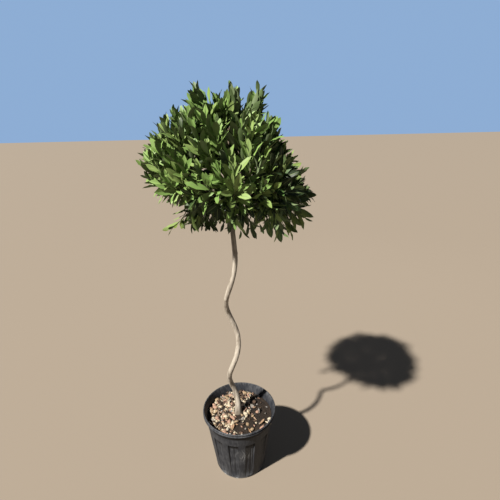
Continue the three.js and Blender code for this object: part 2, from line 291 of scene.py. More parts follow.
# Pot: one closed shell turned from its profile, with panels and a crease pressed into its wall
pot = {
    "height": 0.285,
    "rimRadius": 0.156,
    "rimDrop": 0.016,
    "rim": (  # how far in from its radius, and how far above the neck: a bead, a groove and a roll
        (0.0022, 0.0003),
        (0.0006, 0.0010),
        (0, 0.0024),
        (0.0006, 0.0042),
        (0.0034, 0.0054),
        (0.0036, 0.0076),
        (0.0010, 0.0092),
        (0, 0.0114),
        (0.0008, 0.0142),
        (0.0026, 0.0157),
        (0.0046, 0.0157),
        (0.0062, 0.0138),
        (0.0068, 0.0090),
    ),
    "neckRadius": 0.146,
    "footRadius": 0.110,
    "toe": 0.009,  # height of the rounded foot
    "wall": 0.0032,
    "backing": 0.0104,  # the wall's thickness behind the panels, under the soil
    "backingRings": (0.12, 0.229),  # heights in its inner side
    "floor": 0.004,
    "steps": 144,
    "rings": (0.045, 0.085, 0.125, 0.165, 0.190),  # heights in the wall beside the panels
    "neckRings": (0.216, 0.238, 0.257),  # and above them
    "panels": 12,
    "panelSteps": 7,  # of the 12 to each panel's pitch
    "panelTurn": 2.4,  # degrees that the rib between two panels stands to the right of the front
    "panelFrom": 0.0135,
    "panelTo": 0.208,
    "panelDepth": 0.0012,  # at a panel's foot
    "panelDeeper": 0.0046,  # and how much deeper its top lies
    "panelSlope": 0.0020,
    "creaseDepth": 0.0016,
    "creaseSlope": 0.0018,
    "holeSteps": 2,
    "holeDepth": 0.0024,
    "holeSlope": 0.0008,
    "plastic": (0.0160, 0.0178, 0.0225),
    "dust": (0.143, 0.146, 0.152),
    # painted shade for the panels' tops and the band under the rim
    "paintedShade": (0.002, 0.0022, 0.003),
    "scuffs": {
        "at": (0.016, -0.127, 0.151),
        "reach": 0.050,
        "rubbed": 0.25,  # how pale the patch is between the scratches
        "leans": (14, 30, -24),  # degrees of each run of scratches
        "scratch": (0.0044, 0.03, 0.040),  # across, into and along the wall
    },
}


def spun(profile, steps):
    bm = bmesh.new()
    points = [bm.verts.new((radius, 0, height)) for radius, height in profile]
    edges = [bm.edges.new(pair) for pair in zip(points, points[1:])]
    turn = {"cent": (0, 0, 0), "axis": (0, 0, 1), "angle": 2 * math.pi, "steps": steps}
    bmesh.ops.spin(bm, geom=points + edges, use_merge=True, **turn)
    bmesh.ops.remove_doubles(bm, verts=bm.verts, dist=1e-6)
    bmesh.ops.recalc_face_normals(bm, faces=bm.faces)
    return bm


def potWall(height):
    neck = pot["height"] - pot["rimDrop"]
    return lerp(pot["footRadius"], pot["neckRadius"], height / neck)


def potProfile():
    rim, foot = pot["rimRadius"], pot["footRadius"]
    neck = pot["height"] - pot["rimDrop"]
    heights = (pot["panelFrom"], *pot["rings"], pot["panelTo"], *pot["neckRings"])
    under = [(0, 0.003), (foot - 0.024, 0.003), (foot - 0.020, 0), (foot - 0.005, 0)]
    toe = [(foot - 0.0012, 0.0012), (foot, 0.005), (potWall(pot["toe"]), pot["toe"])]
    outer = [(potWall(z), z) for z in heights]
    outer += [(potWall(neck), neck - 0.001)]
    edge = [(rim - inwards, neck + rise) for inwards, rise in pot["rim"]]
    inner = [(pot["neckRadius"] - pot["wall"], neck - 0.002)]
    inner += [(potWall(z) - pot["wall"], z) for z in (0.248, 0.236)]
    inner += [(potWall(z) - pot["backing"], z) for z in reversed(pot["backingRings"])]
    inner += [(foot - pot["backing"], pot["floor"]), (0, pot["floor"])]
    return under + toe + outer + edge + inner


def stepOf(face):  # which of the wall's steps a face stands on
    middle = face.calc_center_median()
    share = math.atan2(middle.y, middle.x) / (2 * math.pi) - pot["panelTurn"] / 360
    return math.floor(share * pot["steps"] + 0.001) % pot["steps"], middle


def pressIn(bm, faces, slope, depth):
    settings = {"use_even_offset": True, "use_boundary": True}
    bmesh.ops.inset_region(bm, faces=faces, thickness=slope, depth=-depth, **settings)


def makePot(plastic, shade):
    bm = spun(potProfile(), pot["steps"])
    turn = Matrix.Rotation(math.radians(pot["panelTurn"]), 3, "Z")
    bmesh.ops.rotate(bm, verts=bm.verts, matrix=turn)
    pitch = pot["steps"] // pot["panels"]
    edge = (pitch - pot["panelSteps"]) // 2
    middleStep = pitch // 2
    panels = [[] for _ in range(pot["panels"])]
    holes = [[] for _ in range(pot["panels"])]
    for face in bm.faces:
        step, middle = stepOf(face)
        isOuter = middle.to_2d().length > potWall(middle.z) - pot["wall"] / 2
        isUpright = face.normal.to_2d().length >= 0.5
        if not (isOuter and isUpright):
            continue
        within = step % pitch
        inPanel = edge <= within < edge + pot["panelSteps"]
        if inPanel and pot["panelFrom"] < middle.z < pot["panelTo"]:
            panels[step // pitch].append(face)
        inHole = abs(within - middleStep) < pot["holeSteps"]
        if inHole and 0.001 < middle.z < pot["toe"]:
            holes[step // pitch].append(face)
    for faces in panels:
        pressIn(bm, faces, pot["panelSlope"], pot["panelDepth"])
        for vert in {vert for face in faces for vert in face.verts}:
            rise = smooth(vert.co.z, pot["panelFrom"] - 0.02, pot["panelTo"])
            vert.co.xy *= 1 - pot["panelDeeper"] * rise / vert.co.xy.length
        crease = [face for face in faces if stepOf(face)[0] % pitch == middleStep]
        pressIn(bm, crease, pot["creaseSlope"], pot["creaseDepth"])
    for faces in holes:
        pressIn(bm, faces, pot["holeSlope"], pot["holeDepth"])
        for face in faces:
            face.material_index = 1
    addPiece("pot_shell", meshOf("pot_shell", bm, 48), [plastic, shade], "pot", "pot")


def scuffsOn(made):  # a patch rubbed paler, with scratches that cross in it
    scuffs = pot["scuffs"]
    patch = made.near(scuffs["at"], scuffs["reach"])
    total = patch * scuffs["rubbed"]
    for lean in scuffs["leans"]:
        run = {"Rotation": (0, math.radians(lean), 0), "Scale": scuffs["scratch"]}
        run["Vector"] = made.where()
        place = made.node("ShaderNodeMapping", {"vector_type": "TEXTURE"}, run)
        sockets = {"Vector": place, "Scale": 1, "Detail": 2}
        streaks = made.node("ShaderNodeTexNoise", {}, sockets, "Fac")
        total = total + made.ramp(streaks, 0.56, 0.66) * patch
    return total


def potPlastic():
    made = Finish("black nursery plastic", {"Specular IOR Level": 0.22})
    height = made.along("Z")
    blotch = made.clouds(0.030, detail=5)
    streak = made.clouds(0.006, (1, 1, 0.12), 4)
    grit = made.clouds(0.0022, detail=2)
    low = made.ramp(height, 0.055, 0.0)  # dust thrown up round the foot
    foot = made.ramp(height, pot["toe"] + 0.001, pot["toe"] - 0.003)  # thick where it stands
    high = made.ramp(height, 0.266, 0.284)  # and lying on the rim
    dust = made.ramp(blotch + 0.5 * streak, 0.62, 1.02) * 0.15
    dust = dust + made.ramp(streak, 0.46, 0.70) * 0.09
    dust = dust + low * made.ramp(blotch + 0.3 * grit, 0.45, 0.8) * 0.24
    dust = dust + high * made.ramp(streak, 0.38, 0.62) * 0.16 + foot * 0.8
    scratches = made.ramp(made.clouds(0.0016, (1, 1, 0.05), 2), 0.66, 0.74)
    share = dust + 0.10 * scratches + 0.8 * scuffsOn(made)
    colour = made.mix(pot["plastic"], pot["dust"], share)
    # Painted shade: near-black, darker than the plastic itself, laid into the panels' tops under
    # their ledges and into a band under the rim, where shade falls.
    panelTurns = (made.turns() - pot["panelTurn"] / 360) * pot["panels"] + 0.5
    across = made.maths("PINGPONG", panelTurns, 0.5)
    top, neck = pot["panelTo"], pot["height"] - pot["rimDrop"]
    paintedShade = made.ramp(across, 0.30, 0.26) * made.ramp(height, top + 0.001, top)
    paintedShade = paintedShade * made.ramp(height + 0.010 * blotch, top - 0.019, top - 0.010)
    shadeUnderRim = made.ramp(height, neck - 0.026, neck - 0.020) * made.ramp(height, neck + 0.001, neck)
    slope = (pot["neckRadius"] - pot["footRadius"]) / neck
    upright = made.fromAxis() - slope * height  # the wall's radius with its slope taken out
    outside = made.ramp(upright, pot["footRadius"] - 0.0022, pot["footRadius"] - 0.0012)
    paintedShade = paintedShade + shadeUnderRim * outside
    colour = made.mix(colour, pot["paintedShade"], paintedShade * 0.95)
    roughness = 0.46 + 0.16 * blotch + 0.3 * dust
    return made.wear(colour, roughness, 0.6 * grit + 0.5 * streak, 0.0006)


makePot(potPlastic(), plainFinish("drain hole shade", (0.004, 0.004, 0.004), 0.9))
print("pot")

# Soil and what lies on it
soil = {
    "level": 0.254,
    "radius": 0.1386,  # of its surface
    "gap": 0.0005,  # between it and the pot
    "rings": 34,
    "steps": 120,
    "falls": (0.046, 0.139),  # radii between which it falls towards the edge
    "edgeDrop": 0.009,
    "relief": 0.0028,
    "lumps": 38,  # to a metre
    "calm": (0.012, 0.03),  # radii, round the stem's foot, between which the relief rises
    "spread": 0.134,  # how far out things lie on it
    "clearing": 0.02,  # and how near the stem
}


def soilHeight(x, y):
    away = math.hypot(x, y)
    fall = soil["edgeDrop"] * smooth(away, *soil["falls"])
    lumps = noise.fractal(Vector((x, y, 0.3)) * soil["lumps"], 1, 2, 4) * soil["relief"]
    return soil["level"] - fall + lumps * smooth(away, *soil["calm"])


def makeSoil(finish):
    gap, rings = soil["gap"], soil["rings"]
    low, high = pot["backingRings"]
    foot, floor = pot["footRadius"] - pot["backing"] - gap, pot["floor"] + gap
    profile = [(0, floor), (foot, floor)]
    profile += [(potWall(z) - pot["backing"] - gap, z) for z in (low, high - gap)]
    profile += [(soil["radius"] * (1 - ring / rings), soil["level"]) for ring in range(rings + 1)]
    bm = spun(profile, soil["steps"])
    for vert in bm.verts:
        if vert.co.z > high:
            vert.co.z = soilHeight(vert.co.x, vert.co.y)
    addPiece("soil_bed", meshOf("soil_bed", bm, 60), [finish], "soil", "soil")


def soilFinish():
    made = Finish("damp potting soil", {"Specular IOR Level": 0.25})
    crumbs = made.cells(0.0042)
    blotch = made.clouds(0.035, detail=4)
    grit = made.clouds(0.0028)
    pale = made.ramp(crumbs + blotch, 0.55, 1.1)
    colour = made.mix((0.0045, 0.0034, 0.0028), (0.021, 0.014, 0.0095), pale)
    colour = made.mix(colour, (0.18, 0.15, 0.11), made.ramp(grit, 0.68, 0.74))  # pale specks
    return made.wear(colour, 0.85 + 0.1 * grit, crumbs + grit, 0.003)


def chipFinish(name, low, high):
    made = Finish(name, {"Specular IOR Level": 0.3})
    grain = made.clouds(0.0025, (1, 1, 0.4), 4)
    colour = made.mix(low, high, made.ramp(grain, 0.35, 0.68))
    return made.wear(colour, 0.75 + 0.15 * grain, grain, 0.0012)


# The triangles and quads of one small shape, ready to be copied many times.
def shapeOf(bm):
    bm.verts.index_update()
    faces = [[vert.index for vert in face.verts] for face in bm.faces]
    kinds = [face.material_index for face in bm.faces]
    edges = [edge for edge in bm.edges if not edge.smooth]
    crisp = {tuple(sorted(vert.index for vert in edge.verts)) for edge in edges}
    coords = np.array([vert.co[:] for vert in bm.verts])
    bm.free()
    return {"coords": coords, "faces": faces, "kinds": kinds, "crisp": crisp}


# One piece of many copies, each a shape, a matrix, and the material slot of each kind of face.
def addCopies(name, copies, finishes, slot, *nodes):
    coords, faces, slots, crisp, base = [], [], [], [], 0
    for shape, matrix, palette in copies:
        turn = np.array(matrix.to_3x3())
        coords.append(shape["coords"] @ turn.T + np.array(matrix.translation))
        faces.extend([base + corner for corner in face] for face in shape["faces"])
        slots.extend(palette[kind] for kind in shape["kinds"])
        crisp.extend((base + a, base + b) for a, b in shape["crisp"])
        base += len(shape["coords"])
    mesh = bpy.data.meshes.new(name)
    mesh.from_pydata(np.concatenate(coords).tolist(), [], faces)
    mesh.polygons.foreach_set("material_index", slots)
    mesh.shade_smooth()
    ends = np.empty(2 * len(mesh.edges), dtype=np.int64)
    mesh.edges.foreach_get("vertices", ends)
    ends = np.sort(ends.reshape(-1, 2), axis=1)
    crispKeys = np.array([a * base + b for a, b in crisp], dtype=np.int64)
    mask = np.isin(ends[:, 0] * base + ends[:, 1], crispKeys)
    mesh.attributes.new("sharp_edge", "BOOLEAN", "EDGE").data.foreach_set("value", mask)
    mesh.update()
    addPiece(name, mesh, finishes, slot, *nodes)
    print(name, len(copies), "copies,", len(faces), "faces")


def lumpShapes(kind):  # chips or pebbles, each a little different from the one before
    shapes = []
    for number in range(kind["shapes"]):
        halves = [half + change * number for half, change in zip(kind["halves"], kind["changes"])]
        bm = bmesh.new()
        bmesh.ops.create_icosphere(bm, subdivisions=kind["subdivisions"], radius=1)
        for vert in bm.verts:
            place = vert.co * 1.3 + Vector((kind["seed"] + number, 0, 0))
            bulge = 1 + kind["lumpiness"] * noise.noise(place)
            vert.co = Vector([value * half for value, half in zip(vert.co, halves)]) * bulge
        shapes.append(shapeOf(bm))
    return shapes


def scattered(random, count, bias):  # places on the soil, thicker to the left and front by the bias
    places = []
    while len(places) < count:
        away, bearing = soil["spread"] * math.sqrt(random()), 2 * math.pi * random()
        x, y = away * math.cos(bearing), away * math.sin(bearing)
        keep = 1 - bias * smooth(x - 0.5 * y, -0.05, 0.09)
        if random() < keep and away > soil["clearing"]:
            places.append((x, y))
    return places


def lying(random, place, lift, tilt):  # a matrix that lays a shape on the soil, turned any way
    x, y = place
    turn = Matrix.Rotation(2 * math.pi * random(), 4, "Z")
    lean = Matrix.Rotation(astray(random, tilt), 4, "X")
    lean = lean @ Matrix.Rotation(astray(random, tilt), 4, "Y")
    return Matrix.Translation((x, y, soilHeight(x, y) + lift)) @ turn @ lean


mulch = {
    "count": 340,
    "bias": 0.86,
    "shapes": 6,
    "seed": 0,
    "halves": (0.0108, 0.0060, 0.0030),  # half of the first shape's length, width and thickness
    "changes": (-0.0007, 0.0004, 0),  # from each shape to the next
    "subdivisions": 1,
    "lumpiness": 0.9,
    "sizes": (0.55, 1.5),
    "tilt": 0.6,
    "colours": {
        "cream chip": ((0.25, 0.21, 0.145), (0.46, 0.40, 0.30)),
        "tan chip": ((0.15, 0.102, 0.060), (0.27, 0.200, 0.125)),
        "pinkish chip": ((0.19, 0.108, 0.074), (0.35, 0.225, 0.165)),
        "brown chip": ((0.022, 0.014, 0.009), (0.085, 0.052, 0.033)),
        "grey chip": ((0.095, 0.086, 0.074), (0.22, 0.200, 0.175)),
    },
    "deal": (0, 0, 0, 1, 1, 2, 2, 2, 3, 4),  # how often each of those colours comes
}
pebble = {
    "count": 50,
    "bias": 0.3,
    "shapes": 3,
    "seed": 10,
    "halves": (0.0050, 0.0042, 0.0034),
    "changes": (0, -0.0003, 0),
    "subdivisions": 2,
    "lumpiness": 0.25,
    "sizes": (0.5, 1.3),
    "tilt": 0.4,
    "colours": {
        "white pebble": ((0.26, 0.245, 0.215), (0.38, 0.365, 0.335)),
        "grey pebble": ((0.10, 0.095, 0.090), (0.19, 0.180, 0.170)),
        "rust pebble": ((0.13, 0.075, 0.048), (0.22, 0.145, 0.098)),
    },
}


def makeMulch():
    random, shapes = seeded(41), lumpShapes(mulch)
    finishes = [chipFinish(name, *tones) for name, tones in mulch["colours"].items()]
    copies = []
    for place in scattered(random, mulch["count"], mulch["bias"]):
        size = lerp(*mulch["sizes"], random() ** 1.4)
        lift = 0.001 + 0.004 * random()
        matrix = lying(random, place, lift, mulch["tilt"]) @ Matrix.Scale(size, 4)
        copies.append((pick(random, shapes), matrix, [pick(random, mulch["deal"])]))
    addCopies("mulch_chips", copies, finishes, "soil")


def makePebbles():
    random, shapes = seeded(43), lumpShapes(pebble)
    finishes = [chipFinish(name, *tones) for name, tones in pebble["colours"].items()]
    copies = []
    for place in scattered(random, pebble["count"], pebble["bias"]):
        matrix = lying(random, place, 0.001, pebble["tilt"])
        matrix = matrix @ Matrix.Scale(lerp(*pebble["sizes"], random()), 4)
        copies.append((pick(random, shapes), matrix, [pick(random, range(len(finishes)))]))
    addCopies("pebbles", copies, finishes, "soil")


# One blade: an upper side with its midrib and a paler underside, two layers that meet at the edge
leaf = {
    "length": 0.076,
    "width": 0.0208,
    "stations": (0, 0.03, 0.11, 0.24, 0.40, 0.57, 0.74, 0.89, 1),
    "halfWidths": (0, 0.06, 0.08, 0.45, 0.78, 0.98, 0.95, 0.58, 0),  # at the stations, as shares
    "across": (-1, -0.08, 0.08, 1),
    "thickness": 0.00045,
}
upperKind, ribKind, underKind = range(3)


def gridOf(bm, columns, rows):  # the vertices of a new grid, each with its column and row
    for vert in bmesh.ops.create_grid(bm, x_segments=columns, y_segments=rows, size=1)["verts"]:
        yield vert, round((vert.co.x + 1) / 2 * columns), round((vert.co.y + 1) / 2 * rows)


def bladeLayer(bm, columns, side):
    made = list(gridOf(bm, columns, len(leaf["stations"]) - 1))
    across = leaf["across"] if side > 0 else (-1, 0, 1)
    for vert, column, row in made:
        vert.co = Vector((across[column], row, side))
    faces = {face for vert, *_ in made for face in vert.link_faces}
    for face in faces:
        middle = face.calc_center_median()
        isRib = side > 0 and abs(middle.x) < 0.05
        face.material_index = underKind if side < 0 else ribKind if isRib else upperKind
    if side < 0:
        bmesh.ops.reverse_faces(bm, faces=list(faces))


def bladeShape(fold, bend, twist, wave, phase):
    bm = bmesh.new()
    bladeLayer(bm, 3, 1)
    bladeLayer(bm, 2, -1)
    for vert in bm.verts:
        across, row, side = vert.co
        along = leaf["stations"][round(row)]
        half = leaf["halfWidths"][round(row)] * leaf["width"] / 2
        away = abs(across)
        ripple = wave * math.sin(5.2 * math.pi * along + phase + 1.1 * (across > 0)) * away**2
        rise = fold * half * away * (1.4 - 0.6 * along) + ripple * half
        if away < 1 and 0 < along < 1:
            rise += side * leaf["thickness"]
        x = across * half * math.cos(fold * 0.6)
        sine, cosine = math.sin(twist * along), math.cos(twist * along)
        y, z = leaf["length"] * along, -bend * leaf["length"] * along**2
        vert.co = Vector((x * cosine - rise * sine, y, z + rise * cosine + x * sine))
    bmesh.ops.remove_doubles(bm, verts=bm.verts, dist=1e-7)
    for edge in bm.edges:
        kinds = {face.material_index for face in edge.link_faces}
        edge.smooth = not (underKind in kinds and len(kinds) > 1)
    return shapeOf(bm)


# Each blade's fold, bend, twist, wave and the wave's phase
blades = [
    bladeShape(0.30, 0.10, 0.10, 0.16, 0.0),
    bladeShape(0.22, 0.22, -0.25, 0.20, 1.3),
    bladeShape(0.42, 0.05, 0.20, 0.12, 2.1),
    bladeShape(0.16, 0.16, -0.12, 0.24, 3.4),
    bladeShape(0.34, -0.06, 0.05, 0.14, 4.6),
    bladeShape(0.26, 0.30, 0.30, 0.18, 5.5),
]
droopers = [bladeShape(0.34, 0.34, 0.2, 0.16, 0.7), bladeShape(0.22, 0.26, -0.3, 0.2, 2.9)]
curled = [bladeShape(0.9, 0.35, 0.5, 0.3, 1.0), bladeShape(0.6, -0.3, -0.6, 0.35, 2.6)]
print("blade faces:", len(blades[0]["faces"]))

litter = {  # dry leaves of its own that have dropped on the soil
    "count": 12,
    "bias": 0.35,
    "sizes": (0.38, 0.62),
    "inward": 0.16,  # how much nearer the middle, so that no tip runs into the pot
    "tilt": 0.35,
    "colours": {
        "dry leaf upper": ((0.16, 0.092, 0.045), 0.6),
        "dry leaf rib": ((0.24, 0.170, 0.105), 0.6),
        "dry leaf under": ((0.21, 0.150, 0.095), 0.7),
        "old leaf upper": ((0.080, 0.048, 0.028), 0.6),
        "old leaf under": ((0.13, 0.090, 0.058), 0.7),
    },
    "dry": (0, 1, 2),  # which colours its upper side, rib and underside take
    "old": (3, 1, 4),
    "dryShare": 0.6,
}


def makeLitter():
    random = seeded(47)
    finishes = [plainFinish(name, *looks) for name, looks in litter["colours"].items()]
    copies = []
    for place in scattered(random, litter["count"], litter["bias"]):
        size = lerp(*litter["sizes"], random())
        inward = Vector((-place[0], -place[1], 0)) * litter["inward"]
        matrix = Matrix.Translation(inward) @ lying(random, place, 0.004, litter["tilt"])
        back = Matrix.Translation((0, -leaf["length"] / 2, 0.003))
        matrix = matrix @ Matrix.Scale(size, 4) @ back
        palette = litter["dry"] if random() < litter["dryShare"] else litter["old"]
        copies.append((pick(random, curled), matrix, palette))
    addCopies("dry_leaves", copies, finishes, "soil")


makeSoil(soilFinish())
makeMulch()
makePebbles()
makeLitter()
print("soil, mulch, pebbles and dry leaves")

# The stem and boughs, along the model's own lines
stem = {
    "axis": -0.0145,  # x of the line that it winds round
    "footCoilRadius": 0.009,
    "coilRadius": 0.0215,
    "neckCoilRadius": 0.0155,
    "turn": 0.340,  # height of one turn
    "leftAt": 0.437,  # where it stands furthest left
    "coilTop": 0.947,  # where the turns end
    "easing": 0.038,
    "coilFrom": 0.400,
    "coilTo": 0.960,
    "neckFrom": 1.080,
    "footRadius": 0.0108,
    "neckRadius": 0.0088,
    "forkRadius": 0.0074,
    "tipRadius": 0.0036,
    "flare": 0.005,
    "flareHeight": 0.034,
    "ribs": 0.0035,  # of the root flare
    "ribHeight": 0.016,
    "ring": 0.0022,  # height of one ring of faces
    "sides": 40,
    "knots": 13,
    "knotHeights": (0.34, 1.08),
    "knotSize": 0.007,
    "knotRise": 0.0021,
    "grains": ((0.00034, 0.0035), (0.0006, 0.014)),  # depth and width of the ridges
}
bough = {
    "order": (0, 3, 1, 4, 2, 5),  # which place up the stem each one leaves from
    "lowest": 1.116,
    "spacing": 0.017,
    "baseRadius": 0.0056,
    "tipRadius": 0.0038,
    "rise": 0.034,
    "riseShare": 0.2,
    "aimLength": 0.034,
    "collar": 0.0024,
    "collarLength": 0.012,
    "sides": 20,
    "rings": 70,
    "grain": (0.00035, 0.005),
}
crown = {
    "centre": Vector((-0.001, 0, 1.288)),
    "hollow": 0.080,  # half of the room among the boughs
    "sideElevation": -18,  # of the way to the middle of each mass below the top one
    "siteShare": 0.48,  # how far out a mass's middle lies, as a share of its reach
    "bareTo": 1.2,  # height up to which leaves keep this far from the stem:
    "clearing": 0.016,
    "margin": 0.0012,  # half of the room between masses
    "top": 0.226,
    "under": 0.196,
    "rings": (  # elevation, and the reach at even bearings from +X round
        (38, (0.210, 0.232, 0.266, 0.284, 0.266, 0.232)),
        (4, (0.226, 0.252, 0.280, 0.296, 0.280, 0.252)),
        (-32, (0.326, 0.300, 0.262, 0.238, 0.222, 0.300)),
        (-62, (0.290, 0.266, 0.228, 0.206, 0.198, 0.266)),
    ),
    "blend": 13,  # how sharply one reach gives way to the next
}
stemTip = crown["centre"].z + crown["hollow"]


def stemCentre(z):
    eased = math.log1p(math.exp((stem["coilTop"] - z) / stem["easing"])) * stem["easing"]
    bearing = math.pi + 2 * math.pi * (stem["coilTop"] - eased - stem["leftAt"]) / stem["turn"]
    low = smooth(z, soil["level"], stem["coilFrom"])
    radius = lerp(stem["footCoilRadius"], stem["coilRadius"], low)
    radius = lerp(radius, stem["neckCoilRadius"], smooth(z, stem["coilTo"], stem["neckFrom"]))
    return Vector((stem["axis"] + radius * math.cos(bearing), radius * math.sin(bearing), z))


def stemRadius(z):
    above = z - soil["level"]
    if z < bough["lowest"]:
        share = above / (bough["lowest"] - soil["level"])
        flare = stem["flare"] * math.exp(-max(above, 0) / stem["flareHeight"])
        return lerp(stem["footRadius"], stem["neckRadius"], share) + flare
    share = (z - bough["lowest"]) / (stemTip - bough["lowest"])
    return lerp(stem["forkRadius"], stem["tipRadius"], share)


# Two directions square to the line at each of its points, carried along without twist.
def squares(points):
    tangents = [(b - a).normalized() for a, b in zip(points, points[1:])]
    tangents.append(tangents[-1])
    first = tangents[0].orthogonal().normalized()
    made = []
    for tangent in tangents:
        first = (first - tangent * first.dot(tangent)).normalized()
        made.append((first, tangent.cross(first)))
    return made


# A closed tube along a line. radiusAt(ring, angle, outwards) gives its radius there.
def limb(points, radiusAt, sides):
    rings = len(points) - 1
    frames = squares(points)
    bm = bmesh.new()
    for vert, side, ring in gridOf(bm, sides, rings):
        angle = side % sides / sides * 2 * math.pi
        first, second = frames[ring]
        outwards = first * math.cos(angle) + second * math.sin(angle)
        vert.co = points[ring] + outwards * radiusAt(ring, angle, outwards)
    bmesh.ops.remove_doubles(bm, verts=bm.verts, dist=1e-7)
    bmesh.ops.holes_fill(bm, edges=[edge for edge in bm.edges if edge.is_boundary], sides=0)
    bmesh.ops.recalc_face_normals(bm, faces=bm.faces)
    return bm


def grain(place, size):  # fine ridges that run up the bark
    return noise.fractal(Vector((place.x / size, place.y / size, place.z / size / 7)), 1, 2, 3)


def makeTrunk(bark):
    random = seeded(53)
    count = round((stemTip - soil["level"]) / stem["ring"])
    heights = [lerp(soil["level"] - 0.002, stemTip, ring / count) for ring in range(count + 1)]
    points = [stemCentre(z) for z in heights]
    knots = []
    for number in range(stem["knots"]):
        z = lerp(*stem["knotHeights"], (number + 0.7 * random()) / stem["knots"])
        knots.append((stemCentre(z), heading(360 * random(), 0), lerp(0.6, 1.15, random())))

    def radiusAt(ring, angle, outwards):
        radius = stemRadius(heights[ring])
        place = points[ring] + outwards * radius
        above = heights[ring] - soil["level"]
        radius += sum(depth * grain(place, size) for depth, size in stem["grains"])
        ribs = max(math.sin(2.5 * angle + 0.6), 0) * stem["ribs"]
        ribs *= math.exp(-above / stem["ribHeight"])
        for middle, side, size in knots:  # each a swelling with a dent in its middle
            if abs(middle.z - place.z) > 2 * stem["knotSize"]:
                continue
            away = (place - middle - side * radius).length / (stem["knotSize"] * size)
            swelling = math.exp(-(away**2) * 1.6) - 0.75 * math.exp(-(away**2) * 9)
            radius += stem["knotRise"] * size * swelling
        return radius + ribs

    bm = limb(points, radiusAt, stem["sides"])
    addPiece("trunk_bark", meshOf("trunk_bark", bm, 60), [bark], "bark", "trunk")


def curveOf(corners, count):  # points along a Bezier curve
    made = []
    for number in range(count + 1):
        ends = corners
        while len(ends) > 1:
            ends = [a.lerp(b, number / count) for a, b in zip(ends, ends[1:])]
        made.append(ends[0])
    return made


def makeBough(mass, bark):
    start = stemCentre(bough["lowest"] + bough["spacing"] * bough["order"][mass["turn"]])
    end = crown["centre"] + mass["out"] * crown["hollow"]
    rise = start.lerp(end, bough["riseShare"])
    rise.z = start.z + bough["rise"]
    corners = [start, rise, end - mass["out"] * bough["aimLength"], end]
    points = curveOf(corners, bough["rings"])
    length = sum((b - a).length for a, b in zip(points, points[1:]))
    depth, size = bough["grain"]

    def radiusAt(ring, angle, outwards):
        share = ring / bough["rings"]
        radius = lerp(bough["baseRadius"], bough["tipRadius"], share)
        radius += bough["collar"] * math.exp(-share * length / bough["collarLength"])
        return radius + depth * grain(points[ring] + outwards * radius, size)

    name = mass["name"].replace("mass", "bough")
    bm = limb(points, radiusAt, bough["sides"])
    addPiece(name + "_bark", meshOf(name + "_bark", bm, 60), [bark], "bark", name)


def barkFinish():
    made = Finish("smooth pale bark", {"Specular IOR Level": 0.3})
    streak = made.clouds(0.010, (1, 1, 0.16), 5)
    blotch = made.clouds(0.045, (1, 1, 0.5), 4)
    pores = made.ramp(made.cells(0.0048, (1, 1, 1.6)), 0.16, 0.07)
    mossy = made.ramp(blotch, 0.60, 0.78)
    damp = made.ramp(made.along("Z"), 0.30, 0.25)  # at the foot
    shadeUnderCrown = made.ramp(made.along("Z") + 0.05 * blotch, 1.03, 1.12)  # painted shade: darker up under the head, where the crown shades the stem
    pale = made.ramp(streak + 0.6 * blotch, 0.50, 0.92)
    colour = made.mix((0.132, 0.107, 0.082), (0.325, 0.288, 0.242), pale)
    colour = made.mix(colour, (0.115, 0.125, 0.070), mossy * 0.45)
    colour = made.mix(colour, (0.055, 0.040, 0.028), 0.55 * pores)
    colour = made.mix(colour, (0.065, 0.047, 0.032), damp * 0.6)
    # painted shade of the crown on the upper stem
    colour = made.mix(colour, (0.050, 0.043, 0.030), shadeUnderCrown * 0.6)
    return made.wear(colour, 0.62 + 0.2 * streak, streak + 0.4 * pores, 0.0015)


# The crown's outline and each mass's own space, by the model's rule
def ringWays():
    lobes = [(heading(0, 90), crown["top"]), (heading(0, -90), crown["under"])]
    for elevation, reaches in crown["rings"]:
        for number, reach in enumerate(reaches):
            lobes.append((heading(360 * number / len(reaches), elevation), reach))
    return lobes


lobes = ringWays()


def reachAlong(way):
    total, weights = 0, 0
    for lobe, reach in lobes:
        weight = math.exp(crown["blend"] * (lobe.dot(way) - 1))
        total += weight * reach
        weights += weight
    return total / weights


def makeMasses():
    sides = ("right_back", "back", "left_back", "left_front", "front", "right_front")
    masses = [{"name": "mass_top", "out": heading(0, 90), "isTop": True}]
    for turn, side in enumerate(sides):
        out = heading(30 + 60 * turn, crown["sideElevation"])
        masses.append({"name": "mass_" + side, "out": out, "isTop": False, "turn": turn})
    for mass in masses:
        mass["shoots"] = []
        mass["site"] = crown["centre"] + mass["out"] * crown["siteShare"] * reachAlong(mass["out"])
    for mass in masses:
        mass["space"] = list(spaceOf(mass, masses))
    return masses


def spaceOf(mass, masses):  # a point is inside while normal . point < limit
    centre = crown["centre"]
    yield -mass["out"], -mass["out"].dot(centre) - crown["hollow"]
    for other in masses:
        if other is mass or other["isTop"]:
            continue
        if mass["isTop"]:
            yield other["out"], other["out"].dot(centre) + crown["hollow"] - 2 * crown["margin"]
            continue
        between = (other["site"] - mass["site"]).normalized()
        middle = (other["site"] + mass["site"]) / 2
        yield between, between.dot(middle) - crown["margin"]


masses = makeMasses()
bark = barkFinish()
makeTrunk(bark)
for mass in masses:
    if not mass["isTop"]:
        makeBough(mass, bark)
print("trunk and boughs")

